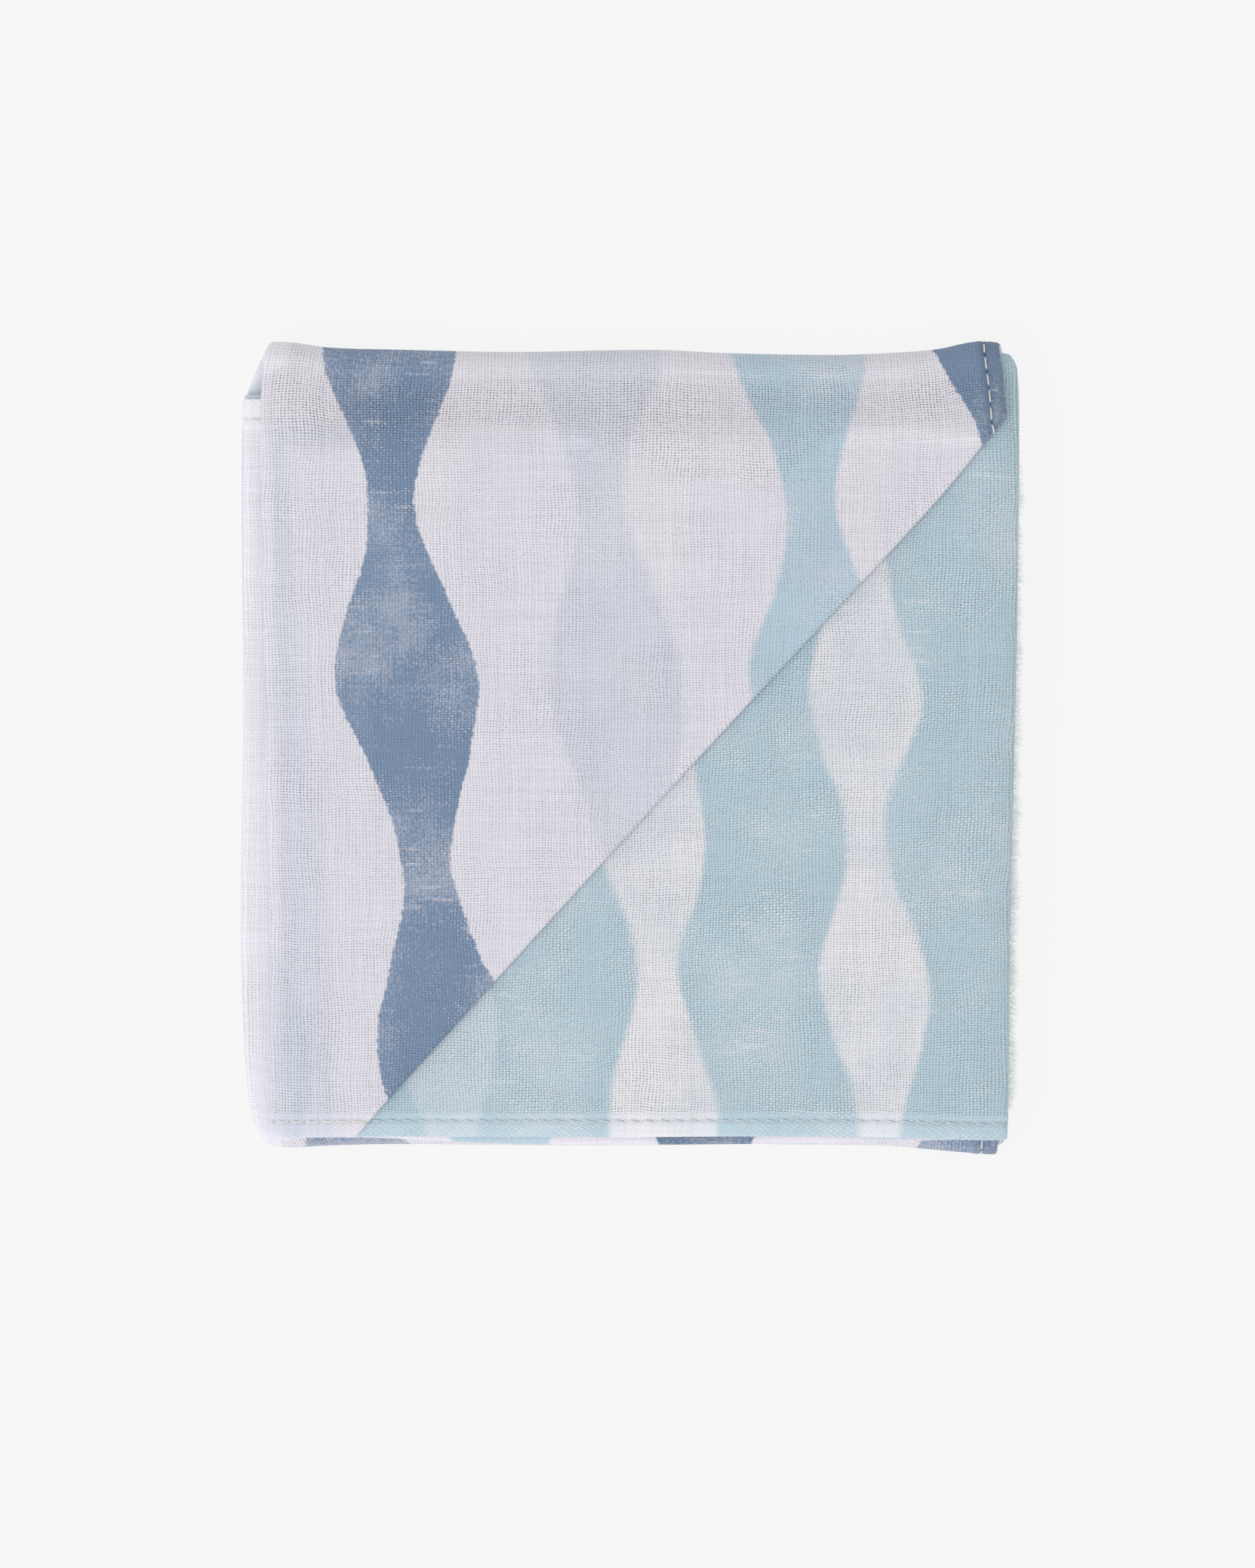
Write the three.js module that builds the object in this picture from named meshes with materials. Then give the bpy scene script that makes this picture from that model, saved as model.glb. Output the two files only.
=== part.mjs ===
// A square double gauze handkerchief, hemmed all round and folded flat into a small square.
// It is one sheet. It is pleated into three panels across, like a letter Z, and the pleated strip is rolled
// into three lengths. The corner of the top panel is then turned under on the diagonal, so that the reverse of
// the panel below shows. Millimetres, +Z up, +Y towards the rolled fold at the back.
import * as THREE from "three";

// The cloth
const CLOTH_SIDE = 350;
const SHEET = 1.0;
const LAYER_GAP = 0.3;
const EDGE_ROUND = 0.35;
const HEM_STITCH_INSET = 2.6;
const HEM_GROOVE_HALF_WIDTH = 0.8;
const HEM_GROOVE_DEPTH = 0.12;

// The folded shape
const STRIP_WIDTH = 117.4;
const STRIP_LEFT = -STRIP_WIDTH / 2;
const BACK_FOLD_Y = 60.4;
const FRONT_FOLD_Y = -60.8;
const FRONT_HEM_Y = -59.4;
const TOP_HEM_INSET = 1.4;

// Where the diagonal fold crosses the two hems of the top panel, measured from the corner that it turns under
const TUCK_UP_SIDE_HEM = 108.9;
const TUCK_ALONG_FRONT_HEM = 102.2;
const FLAP_CLEAR = 1.2;
const FLAP_RAMP = 3.6;
const TUCK_PRESSED = 0.1;

// The top length bends down a little over the fold in front, and sinks behind the inner hems
const HEM_DROOP = 0.9;
const HEM_DROOP_LENGTH = 6;
const SINK_START_Y = 45.5;
const SINK_END_Y = 56.6;
const INNER_HEM_STAGGER = 3;

// Layers
const PITCH = SHEET + LAYER_GAP;
const PLEAT_RADIUS = PITCH / 2;
const PLEAT_ARC = Math.PI * PLEAT_RADIUS;
const STRIP_DEPTH = 2 * PITCH;
const ROLL_RADIUS = STRIP_DEPTH + PITCH / 2;
const ROLL_ARC = Math.PI * ROLL_RADIUS;
const BACK_CENTRE_Y = BACK_FOLD_Y - SHEET / 2 - ROLL_RADIUS;
const FRONT_CENTRE_Y = FRONT_FOLD_Y + SHEET / 2 + ROLL_RADIUS;
const CENTRE_Z = SHEET / 2 + ROLL_RADIUS;
const TOP_LENGTH_LIFT = STRIP_DEPTH + PITCH;

// The flat cloth, from the lowest panel's hem to the top panel's hem
const PLEAT_INSET = SHEET / 2 + PLEAT_RADIUS;
const LEFT_CENTRE = STRIP_LEFT + PLEAT_INSET;
const RIGHT_CENTRE = STRIP_LEFT + STRIP_WIDTH - PLEAT_INSET;
const MIDDLE_PANEL = STRIP_WIDTH - 2 * PLEAT_INSET;
const TOP_PANEL = STRIP_WIDTH - PLEAT_INSET - TOP_HEM_INSET;
const LOW_PANEL = CLOTH_SIDE - MIDDLE_PANEL - TOP_PANEL - 2 * PLEAT_ARC;
const MIDDLE_PANEL_START = LOW_PANEL + PLEAT_ARC;
const TOP_PANEL_START = CLOTH_SIDE - TOP_PANEL;

// The flat cloth, from the front hems round the two rolled folds to the inner hems
const TOP_LENGTH = BACK_CENTRE_Y - FRONT_HEM_Y;
const BASE_LENGTH_START = TOP_LENGTH + ROLL_ARC;
const FRONT_ARC_START = BASE_LENGTH_START + BACK_CENTRE_Y - FRONT_CENTRE_Y;
const INNER_LENGTH_START = FRONT_ARC_START + ROLL_ARC;
const INNER_LENGTH = CLOTH_SIDE - INNER_LENGTH_START;

// Where the strip's two sides lie, by the distance along the cloth from the front hems
const STRIP_SIDES = [
  { along: 0, left: -55.1, right: 57.7 },
  { along: 5, left: -55.1, right: 58.2 },
  { along: 30, left: -55.2, right: 58.4 },
  { along: 75, left: -56.1, right: 59.2 },
  { along: 110, left: -56.6, right: 59.4 },
  { along: 116, left: -56.3, right: 59.2 },
  { along: 121, left: -55.5, right: 58.7 },
  { along: 126, left: -57.2, right: 58.8 },
  { along: 136, left: -59.1, right: 58.9 },
  { along: 180, left: -59.5, right: 58.8 },
  { along: 230, left: -58.9, right: 58.2 },
  { along: 239, left: -57.4, right: 58.0 },
  { along: 245, left: -56.0, right: 57.9 },
  { along: 251, left: -57.4, right: 58.0 },
  { along: 260, left: -58.9, right: 58.2 },
  { along: 300, left: -59.2, right: 58.6 },
  { along: 350, left: -58.6, right: 58.8 },
];

// How far the back and front ends stand out from straight lines, and how far the lowest hem stands out
const END_BOWS = [
  { x: -58, back: 1.7, front: 0.2, lowHem: 0 },
  { x: -53, back: 1.8, front: 0.5, lowHem: 0 },
  { x: -46, back: 0.8, front: 0.1, lowHem: 0 },
  { x: -36, back: 0.5, front: 0, lowHem: 0.3 },
  { x: -14, back: 0.1, front: 0, lowHem: 1.2 },
  { x: 26, back: -0.4, front: 0, lowHem: 1.2 },
  { x: 40, back: 0, front: 0.3, lowHem: 0.7 },
  { x: 47, back: 0.5, front: 0.8, lowHem: 0.2 },
  { x: 54, back: 1.8, front: 1.3, lowHem: 0 },
  { x: 59, back: 1.8, front: 1.4, lowHem: 0 },
];
const BOW_REACH = 26;
const LOW_HEM_REACH = 40;

// Soft rises and hollows of the stack above its flat underside, as a share of its height
const SWELL = { share: 0.03, reachX: 38, reachY: 31, shiftX: 23, shiftY: 12 };

// Grid lines across the strip. All its layers share them, so that they bend alike. The top panel has more of
// them where it steps down off the flap.
const STRIP_LINES = [-55, -49.6, -44, -32, -15, 5, 25, 39, 47, 53.9];
const FLAP_LINES = [-52.3, -46.8];

// Grid cells along the cloth. They are close where the top length sinks at the back.
const CLOSE_LENGTH = 21;
const CELLS = { topLength: 8, close: 7, baseLength: 5, innerLength: 4 };
const PLEAT_STEPS = 4;
const ROLL_STEPS = 6;
const SAME_PLACE = 0.02;
const KEY_DIGITS = 6;
const SLOPE_STEP = 0.01;

const GAUZE = { color: 0xd8d5dd, roughness: 0.95, metalness: 0 };

function eased(share) {
  const t = THREE.MathUtils.clamp(share, 0, 1);
  return t * t * (3 - 2 * t);
}

// A smooth curve through one column of a table, read at a place in its first column.
function follow(rows, first, column, at) {
  const last = rows.length - 1;
  const place = THREE.MathUtils.clamp(at, rows[0][first], rows[last][first]);
  const i = Math.min(
    last - 1,
    rows.findLastIndex((row) => row[first] <= place),
  );
  const slope = (k) => {
    const before = rows[Math.max(0, k - 1)];
    const after = rows[Math.min(last, k + 1)];
    return (after[column] - before[column]) / (after[first] - before[first]);
  };
  const span = rows[i + 1][first] - rows[i][first];
  const t = (place - rows[i][first]) / span;
  const start = rows[i][column];
  const end = rows[i + 1][column];
  const curve = start + (end - start) * t * t * (3 - 2 * t);
  return curve + span * t * (1 - t) * (slope(i) * (1 - t) - slope(i + 1) * t);
}

// The diagonal fold, as a line on the flat cloth with its unit normal towards the corner
const TUCK_END = new THREE.Vector2(CLOTH_SIDE, TUCK_UP_SIDE_HEM);
const TUCK_NORMAL = new THREE.Vector2(TUCK_UP_SIDE_HEM, -TUCK_ALONG_FRONT_HEM).normalize();
const TUCK_START = -PLEAT_INSET;

function pastTuck(across, along) {
  return new THREE.Vector2(across, along).sub(TUCK_END).dot(TUCK_NORMAL);
}

function inTopPanel(across, along) {
  return across > TOP_PANEL_START && along < TOP_LENGTH;
}

// Turns the corner of the top panel under. Gives the place on the panel, and how far below the panel it lies.
function tucked(across, along) {
  const past = pastTuck(across, along);
  const bent = past - TUCK_START;
  if (bent <= 0 || !inTopPanel(across, along)) return { across, along, below: 0 };
  const turn = Math.min(bent / PLEAT_RADIUS, Math.PI);
  const straight = Math.max(0, bent - PLEAT_ARC);
  const moved = TUCK_START + PLEAT_RADIUS * Math.sin(turn) - straight - past;
  return {
    across: across + TUCK_NORMAL.x * moved,
    along: along + TUCK_NORMAL.y * moved,
    below: PLEAT_RADIUS * (1 - Math.cos(turn)),
  };
}

// The top panel rises by one layer over the flap, and slopes down to the panel below round the flap's hems.
function raised(across, along) {
  const past = Math.min(pastTuck(across, along), TUCK_START);
  const toFlap = PLEAT_ARC + 2 * TUCK_START - 2 * past;
  const insideSideHem = CLOTH_SIDE - (across + TUCK_NORMAL.x * toFlap);
  const insideFrontHem = along + TUCK_NORMAL.y * toFlap;
  const share = (inside) => eased(1 + (inside + FLAP_CLEAR) / FLAP_RAMP);
  return PITCH * share(insideSideHem) * share(insideFrontHem);
}

// Pleats the cloth across. Gives x in the strip, and the height above the lowest panel's middle surface.
function pleated(across) {
  if (across <= LOW_PANEL) return { x: RIGHT_CENTRE - (LOW_PANEL - across), height: 0 };
  if (across < MIDDLE_PANEL_START) {
    const turn = (across - LOW_PANEL) / PLEAT_RADIUS;
    return {
      x: RIGHT_CENTRE + PLEAT_RADIUS * Math.sin(turn),
      height: PLEAT_RADIUS * (1 - Math.cos(turn)),
    };
  }
  if (across <= MIDDLE_PANEL_START + MIDDLE_PANEL)
    return { x: RIGHT_CENTRE - (across - MIDDLE_PANEL_START), height: PITCH };
  if (across < TOP_PANEL_START) {
    const turn = (across - MIDDLE_PANEL_START - MIDDLE_PANEL) / PLEAT_RADIUS;
    return {
      x: LEFT_CENTRE - PLEAT_RADIUS * Math.sin(turn),
      height: PITCH + PLEAT_RADIUS * (1 - Math.cos(turn)),
    };
  }
  return { x: LEFT_CENTRE + (across - TOP_PANEL_START), height: STRIP_DEPTH };
}

// Rolls the pleated strip into three lengths, with its top panel outermost. Gives y and z.
function rolled(along, height) {
  const radius = ROLL_RADIUS - STRIP_DEPTH + height;
  if (along <= TOP_LENGTH) {
    const y = FRONT_HEM_Y + along;
    const sunk = eased((y - SINK_START_Y) / (SINK_END_Y - SINK_START_Y));
    return { y, z: CENTRE_Z + radius + TOP_LENGTH_LIFT * (1 - sunk) };
  }
  if (along < BASE_LENGTH_START) {
    const turn = (along - TOP_LENGTH) / ROLL_RADIUS;
    return { y: BACK_CENTRE_Y + radius * Math.sin(turn), z: CENTRE_Z + radius * Math.cos(turn) };
  }
  if (along <= FRONT_ARC_START)
    return { y: BACK_CENTRE_Y - (along - BASE_LENGTH_START), z: CENTRE_Z - radius };
  if (along < INNER_LENGTH_START) {
    const turn = (along - FRONT_ARC_START) / ROLL_RADIUS;
    return { y: FRONT_CENTRE_Y - radius * Math.sin(turn), z: CENTRE_Z - radius * Math.cos(turn) };
  }
  const run = along - INNER_LENGTH_START;
  const layersIn = (STRIP_DEPTH - height) / PITCH;
  const stagger = (INNER_HEM_STAGGER * layersIn * run) / INNER_LENGTH;
  return { y: FRONT_CENTRE_Y + run + stagger, z: CENTRE_Z + radius };
}

// The place of a point of the flat cloth in the folded handkerchief, on the cloth's middle surface.
function folded(across, along) {
  const place = tucked(across, along);
  const strip = pleated(place.across);
  const rise = inTopPanel(place.across, place.along) ? raised(place.across, place.along) : 0;
  const height = strip.height + rise - place.below;
  const roll = rolled(place.along, height);

  const left = follow(STRIP_SIDES, "along", "left", place.along);
  const right = follow(STRIP_SIDES, "along", "right", place.along);
  const x = THREE.MathUtils.lerp(left, right, (strip.x - STRIP_LEFT) / STRIP_WIDTH);

  const back = follow(END_BOWS, "x", "back", x) * eased(1 + (roll.y - BACK_FOLD_Y) / BOW_REACH);
  const front = follow(END_BOWS, "x", "front", x) * eased(1 - (roll.y - FRONT_FOLD_Y) / BOW_REACH);
  const lowHem =
    follow(END_BOWS, "x", "lowHem", x) *
    eased(1 - height / PITCH) *
    eased(1 - place.along / LOW_HEM_REACH);
  const y = roll.y + back - front - lowHem;

  const overFold = Math.max(0, 1 - (y - FRONT_FOLD_Y) / HEM_DROOP_LENGTH);
  const droop = place.along < TOP_LENGTH ? HEM_DROOP * overFold ** 2 : 0;
  const swellX = Math.sin((x + SWELL.shiftX) / SWELL.reachX);
  const swellY = Math.cos((y - SWELL.shiftY) / SWELL.reachY);
  const aboveBase = (roll.z - droop - SHEET / 2) * (1 + SWELL.share * swellX * swellY);
  return new THREE.Vector3(x, y, SHEET / 2 + aboveBase);
}

// The cloth's front-face normal, from two short steps along the surface.
function frontNormal(across, along) {
  const acrossStep = folded(across + SLOPE_STEP, along).sub(folded(across - SLOPE_STEP, along));
  const alongStep = folded(across, along + SLOPE_STEP).sub(folded(across, along - SLOPE_STEP));
  return acrossStep.cross(alongStep).normalize();
}

// Half the cloth's thickness, less in the groove that the hem's stitching pulls in and in the diagonal fold.
function halfThickness(across, along) {
  const toEdge = Math.min(across, CLOTH_SIDE - across, along, CLOTH_SIDE - along);
  const fromStitch = Math.abs(toEdge - HEM_STITCH_INSET);
  const groove = HEM_GROOVE_DEPTH * eased(1 - fromStitch / HEM_GROOVE_HALF_WIDTH);
  const outsideBend = Math.abs(pastTuck(across, along) - TUCK_START - PLEAT_ARC / 2) - PLEAT_ARC / 2;
  const pressed = inTopPanel(across, along) ? TUCK_PRESSED * eased(1 - outsideBend / PLEAT_ARC) : 0;
  return SHEET / 2 - Math.max(groove, pressed);
}

// Grid lines from one place to another, without the first.
function steps(from, to, count) {
  return Array.from({ length: count }, (_, i) => from + ((to - from) * (i + 1)) / count);
}

const HEM_INNER = HEM_STITCH_INSET + HEM_GROOVE_HALF_WIDTH;
const NEAR_HEM = [EDGE_ROUND, HEM_STITCH_INSET];
const FAR_HEM = NEAR_HEM.map((inset) => CLOTH_SIDE - inset).reverse();

function acrossLines() {
  const onLowPanel = STRIP_LINES.map((x) => LOW_PANEL - (RIGHT_CENTRE - x));
  const onMiddlePanel = STRIP_LINES.map((x) => MIDDLE_PANEL_START + (RIGHT_CENTRE - x)).reverse();
  const onTopPanel = [...STRIP_LINES, ...FLAP_LINES].map((x) => TOP_PANEL_START + (x - LEFT_CENTRE));
  return [
    ...NEAR_HEM,
    ...onLowPanel,
    LOW_PANEL,
    ...steps(LOW_PANEL, MIDDLE_PANEL_START, PLEAT_STEPS),
    ...onMiddlePanel,
    MIDDLE_PANEL_START + MIDDLE_PANEL,
    ...steps(MIDDLE_PANEL_START + MIDDLE_PANEL, TOP_PANEL_START, PLEAT_STEPS),
    ...onTopPanel.sort((a, b) => a - b),
    ...FAR_HEM,
  ];
}

function alongLines() {
  return [
    ...NEAR_HEM,
    HEM_INNER,
    ...steps(HEM_INNER, TOP_LENGTH - CLOSE_LENGTH, CELLS.topLength),
    ...steps(TOP_LENGTH - CLOSE_LENGTH, TOP_LENGTH, CELLS.close),
    ...steps(TOP_LENGTH, BASE_LENGTH_START, ROLL_STEPS),
    ...steps(BASE_LENGTH_START, FRONT_ARC_START, CELLS.baseLength),
    ...steps(FRONT_ARC_START, INNER_LENGTH_START, ROLL_STEPS),
    ...steps(INNER_LENGTH_START, CLOTH_SIDE - HEM_INNER, CELLS.innerLength),
    ...FAR_HEM,
  ];
}

// Cuts a convex outline on the flat cloth at a line parallel to the diagonal fold.
function cutAt(outline, place) {
  const sides = outline.map(([across, along]) => {
    const side = pastTuck(across, along) - place;
    return Math.abs(side) < SAME_PLACE ? 0 : side;
  });
  if (sides.every((side) => side <= 0)) return [outline, null];
  if (sides.every((side) => side >= 0)) return [null, outline];
  const before = [];
  const after = [];
  outline.forEach((point, i) => {
    const next = (i + 1) % outline.length;
    if (sides[i] <= 0) before.push(point);
    if (sides[i] >= 0) after.push(point);
    if (sides[i] * sides[next] < 0) {
      const t = sides[i] / (sides[i] - sides[next]);
      const crossing = point.map((value, k) => THREE.MathUtils.lerp(value, outline[next][k], t));
      before.push(crossing);
      after.push(crossing);
    }
  });
  return [before, after];
}

// The flat cloth as outlines of grid cells. Those on the diagonal fold are cut along its bend.
function flatPieces() {
  const across = acrossLines();
  const along = alongLines();
  const bendLines = [TUCK_START, ...steps(TUCK_START, TUCK_START + PLEAT_ARC, PLEAT_STEPS)];
  const pieces = [];
  for (let i = 0; i + 1 < across.length; i += 1)
    for (let j = 0; j + 1 < along.length; j += 1) {
      let rest = [
        [across[i], along[j]],
        [across[i + 1], along[j]],
        [across[i + 1], along[j + 1]],
        [across[i], along[j + 1]],
      ];
      for (const place of inTopPanel(across[i + 1], along[j]) ? bendLines : []) {
        const [before, after] = cutAt(rest, place);
        if (before) pieces.push(before);
        rest = after;
        if (!rest) break;
      }
      if (rest) pieces.push(rest);
    }
  return pieces;
}

// Numbers the corners of the pieces, and splits each piece into triangles.
function flatMesh() {
  const numbers = new Map();
  const points = [];
  const triangles = [];
  const numberOf = (point) => {
    const key = point.map((value) => value.toFixed(KEY_DIGITS)).join();
    if (!numbers.has(key)) {
      numbers.set(key, points.length);
      points.push(point);
    }
    return numbers.get(key);
  };
  for (const piece of flatPieces()) {
    const corners = [...new Set(piece.map(numberOf))];
    for (let i = 1; i + 1 < corners.length; i += 1)
      triangles.push([corners[0], corners[i], corners[i + 1]]);
  }
  return { points, triangles };
}

// The edges of the flat mesh that only one triangle uses, each in that triangle's direction.
function openEdges(triangles) {
  const edges = new Map();
  for (const corners of triangles)
    corners.forEach((from, i) => {
      const to = corners[(i + 1) % 3];
      edges.set(`${from},${to}`, [from, to]);
    });
  return [...edges.values()].filter(([from, to]) => !edges.has(`${to},${from}`));
}

// A place on the flat cloth's own edge, beside a point of the mesh's outline.
function outToEdge(place) {
  if (place <= EDGE_ROUND) return 0;
  return place >= CLOTH_SIDE - EDGE_ROUND ? CLOTH_SIDE : place;
}

// The closed sheet: its front and reverse faces, and a rounded edge that joins them.
function clothGeometry() {
  const { points, triangles } = flatMesh();
  const edges = openEdges(triangles);
  const count = points.length;
  const front = [];
  const reverse = [];
  for (const [across, along] of points) {
    const middle = folded(across, along);
    const offset = frontNormal(across, along).multiplyScalar(halfThickness(across, along));
    front.push(middle.clone().add(offset));
    reverse.push(middle.clone().sub(offset));
  }
  const rim = new Map(edges.map(([from], i) => [from, 2 * count + i]));
  const rimPoints = edges.map(([from]) => folded(...points[from].map(outToEdge)));

  const faces = [];
  for (const [a, b, c] of triangles) faces.push(a, b, c, count + a, count + c, count + b);
  for (const [from, to] of edges) {
    faces.push(from, rim.get(from), rim.get(to), from, rim.get(to), to);
    faces.push(rim.get(from), count + from, count + to, rim.get(from), count + to, rim.get(to));
  }
  const geometry = new THREE.BufferGeometry();
  geometry.setFromPoints([...front, ...reverse, ...rimPoints]);
  geometry.setIndex(faces);

  // The origin is on the surface that the handkerchief lies on, under the middle of it.
  geometry.computeBoundingBox();
  const middle = geometry.boundingBox.getCenter(new THREE.Vector3());
  geometry.translate(-middle.x, -middle.y, -geometry.boundingBox.min.z);
  geometry.computeVertexNormals();
  return geometry;
}

const group = new THREE.Group();
const handkerchief = new THREE.Mesh(clothGeometry(), new THREE.MeshStandardMaterial(GAUZE));
handkerchief.name = "handkerchief";
group.add(handkerchief);

export default group;
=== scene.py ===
from functools import partial
from types import SimpleNamespace

import bmesh
import bpy
import numpy as np
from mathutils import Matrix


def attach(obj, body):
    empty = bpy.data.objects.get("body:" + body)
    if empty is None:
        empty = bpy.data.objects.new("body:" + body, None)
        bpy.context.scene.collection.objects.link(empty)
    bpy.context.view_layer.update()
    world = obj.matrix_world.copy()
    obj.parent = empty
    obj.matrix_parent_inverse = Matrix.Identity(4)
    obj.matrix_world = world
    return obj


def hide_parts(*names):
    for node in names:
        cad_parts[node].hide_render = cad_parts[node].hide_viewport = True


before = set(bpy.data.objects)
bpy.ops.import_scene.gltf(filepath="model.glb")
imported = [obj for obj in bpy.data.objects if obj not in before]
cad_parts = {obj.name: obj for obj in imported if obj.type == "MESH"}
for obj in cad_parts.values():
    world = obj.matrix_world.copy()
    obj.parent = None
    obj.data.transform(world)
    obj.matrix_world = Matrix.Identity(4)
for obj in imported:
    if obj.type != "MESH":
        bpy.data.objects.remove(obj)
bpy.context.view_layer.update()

bl_info = {
    "name": "Folded double gauze handkerchief",
    "version": (1, 0, 0),
    "blender": (4, 5, 0),
    "location": "3D View > Sidebar > Handkerchief",
    "description": "A square double gauze handkerchief, folded flat with one corner turned under",
    "category": "Add Mesh",
}

# Lengths are in millimetres up to the point where a mesh is made, which is in metres.
MM = 0.001

# The folds, as in the model's solid
CLOTH_SIDE = 350
PITCH = 1.3
STRIP_WIDTH = 117.4
STRIP_LEFT = -STRIP_WIDTH / 2
BACK_FOLD_Y = 60.4
FRONT_FOLD_Y = -60.8
FRONT_HEM_Y = -59.4
TOP_HEM_INSET = 1.4
TUCK_UP_SIDE_HEM = 108.9
TUCK_ALONG_FRONT_HEM = 102.2
FLAP_CLEAR = 1.2
FLAP_RAMP = 3.6
HEM_DROOP = 0.9
HEM_DROOP_LENGTH = 6
SINK_START_Y = 45.5
SINK_END_Y = 56.6
INNER_HEM_STAGGER = 3
SWELL = {"share": 0.03, "reach_x": 38, "reach_y": 31, "shift_x": 23, "shift_y": 12}
CAD_HALF_SHEET = 0.5

# What the finished cloth has besides. Its diagonal fold is tighter and its turned corner flatter. On the
# left the inner hems reach further towards the back fold. The top panel is pressed down along both sides,
# its side hem leans in towards the back fold, and its front hem bows less than the layers below.
TUCK_RADIUS = 0.37
TUCK_RISE = 0.25
INNER_FLARE = {"from_x": -38, "over": 19, "reach": 4.2, "stagger": 6}
LEFT_PRESS = {"share": 0.4, "reach": 8}
RIGHT_PRESS = {"share": 0.3, "reach": 4.5}
SIDE_HEM_DRAWN = {"over": 22, "low": 0.4, "high": 1.5, "from": 102, "to": 122}
TOP_BOW_SHARE = 0.4

# Half the width over which a hem's thickness falls off, and the groove that its stitching draws in
HEM_STEP = 0.4
GROOVE = {"depth": 0.13, "reach": 0.9}

PLEAT_RADIUS = PITCH / 2
PLEAT_ARC = np.pi * PLEAT_RADIUS
STRIP_DEPTH = 2 * PITCH
ROLL_RADIUS = STRIP_DEPTH + PITCH / 2
ROLL_ARC = np.pi * ROLL_RADIUS
BACK_CENTRE_Y = BACK_FOLD_Y - CAD_HALF_SHEET - ROLL_RADIUS
FRONT_CENTRE_Y = FRONT_FOLD_Y + CAD_HALF_SHEET + ROLL_RADIUS
CENTRE_Z = CAD_HALF_SHEET + ROLL_RADIUS
TOP_LENGTH_LIFT = STRIP_DEPTH + PITCH
PLEAT_INSET = CAD_HALF_SHEET + PLEAT_RADIUS
LEFT_CENTRE = STRIP_LEFT + PLEAT_INSET
RIGHT_CENTRE = STRIP_LEFT + STRIP_WIDTH - PLEAT_INSET
MIDDLE_PANEL = STRIP_WIDTH - 2 * PLEAT_INSET
TOP_PANEL = STRIP_WIDTH - PLEAT_INSET - TOP_HEM_INSET
LOW_PANEL = CLOTH_SIDE - MIDDLE_PANEL - TOP_PANEL - 2 * PLEAT_ARC
MIDDLE_PANEL_START = LOW_PANEL + PLEAT_ARC
TOP_PANEL_START = CLOTH_SIDE - TOP_PANEL
TOP_LENGTH = BACK_CENTRE_Y - FRONT_HEM_Y
BASE_LENGTH_START = TOP_LENGTH + ROLL_ARC
FRONT_ARC_START = BASE_LENGTH_START + BACK_CENTRE_Y - FRONT_CENTRE_Y
INNER_LENGTH_START = FRONT_ARC_START + ROLL_ARC
INNER_LENGTH = CLOTH_SIDE - INNER_LENGTH_START

# Where the strip's two sides lie, by the distance along the cloth from the front hems
STRIP_SIDES = {
    "along": [0, 5, 30, 75, 110, 116, 121, 126, 129, 134, 180, 212, 230, 239, 245, 251, 260, 278, 300, 350],
    "left": [-55.2, -55.2, -55.3, -56.2, -56.7, -56.4, -55.7, -57.2, -58.8, -59.7, -59.6, -59.9, -59.3,
             -58.2, -56.4, -58.2, -59.2, -59.8, -59.5, -59.4],
    "right": [57.6, 57.9, 58.1, 59.2, 59.6, 59.4, 58.7, 58.7, 58.7, 58.8, 58.7, 58.2, 57.9, 57.7, 57.5, 57.7,
              57.9, 58.2, 58.5, 58.9],
}

# How far the back and front ends stand out from straight lines, and how far the lowest hem stands out
END_BOWS = {
    "x": [-58, -53, -46, -36, -18, 4, 15, 31, 40, 47, 53, 59],
    "back": [1.7, 2.0, 1.1, 0.8, 0.45, 0.75, 0.25, 0, 0.3, 0.85, 2.0, 1.3],
    "front": [-0.5, 0.6, 0.3, 0.1, 0.25, 0.25, 0.1, 0.2, 0.4, 1.0, 1.5, 1.5],
    "low_hem": [0, 0, 0, 0.3, 1.1, 1.2, 1.2, 1.0, 0.7, 0.2, 0, 0],
}
BOW_REACH = 26
LOW_HEM_REACH = 40

# Where the hems of the inner length show through the top panel. The sheets inside end up to 9 mm further
# back than this in the middle.
INNER_HEMS_SEEN = {
    "x": [-58, -30, -10, -2, 4, 12, 22, 28, 34, 58],
    "y": [48.5, 49.2, 49.0, 45.0, 42.0, 40.3, 40.5, 46.0, 48.8, 48.4],
}

# The slight unevenness of cloth that is folded by hand, all through the pile: each wave's height as a share
# of the height above the base, its reaches in x and y, and its turn
SOFT_WAVES = [(0.0042, 4.3, 17, 0.4), (0.0036, 6.1, -11, 2.2), (0.0036, 31, 4.7, 1.1), (0.003, -9, 6.2, 4.0)]

# Distances from the cloth's own edge at which it has grid lines. They are close where the hem rounds off.
HEM_LINES = [0, 0.03, 0.12, 0.28, 0.5, 1.0, 1.7, 2.2, 2.6, 3.0, 3.5, 4.2, 5.0]
TUCK_BEND_STEPS = 6
CELL_SIZES = {"top": 1.7, "middle": 1.8, "low": 3.4, "pleat": 0.25, "roll": 0.7, "hidden_length": 4.2}
SAME_LINE = 0.02
SLOPE_STEP = 0.01
HEM_ROUND = 0.5
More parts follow.
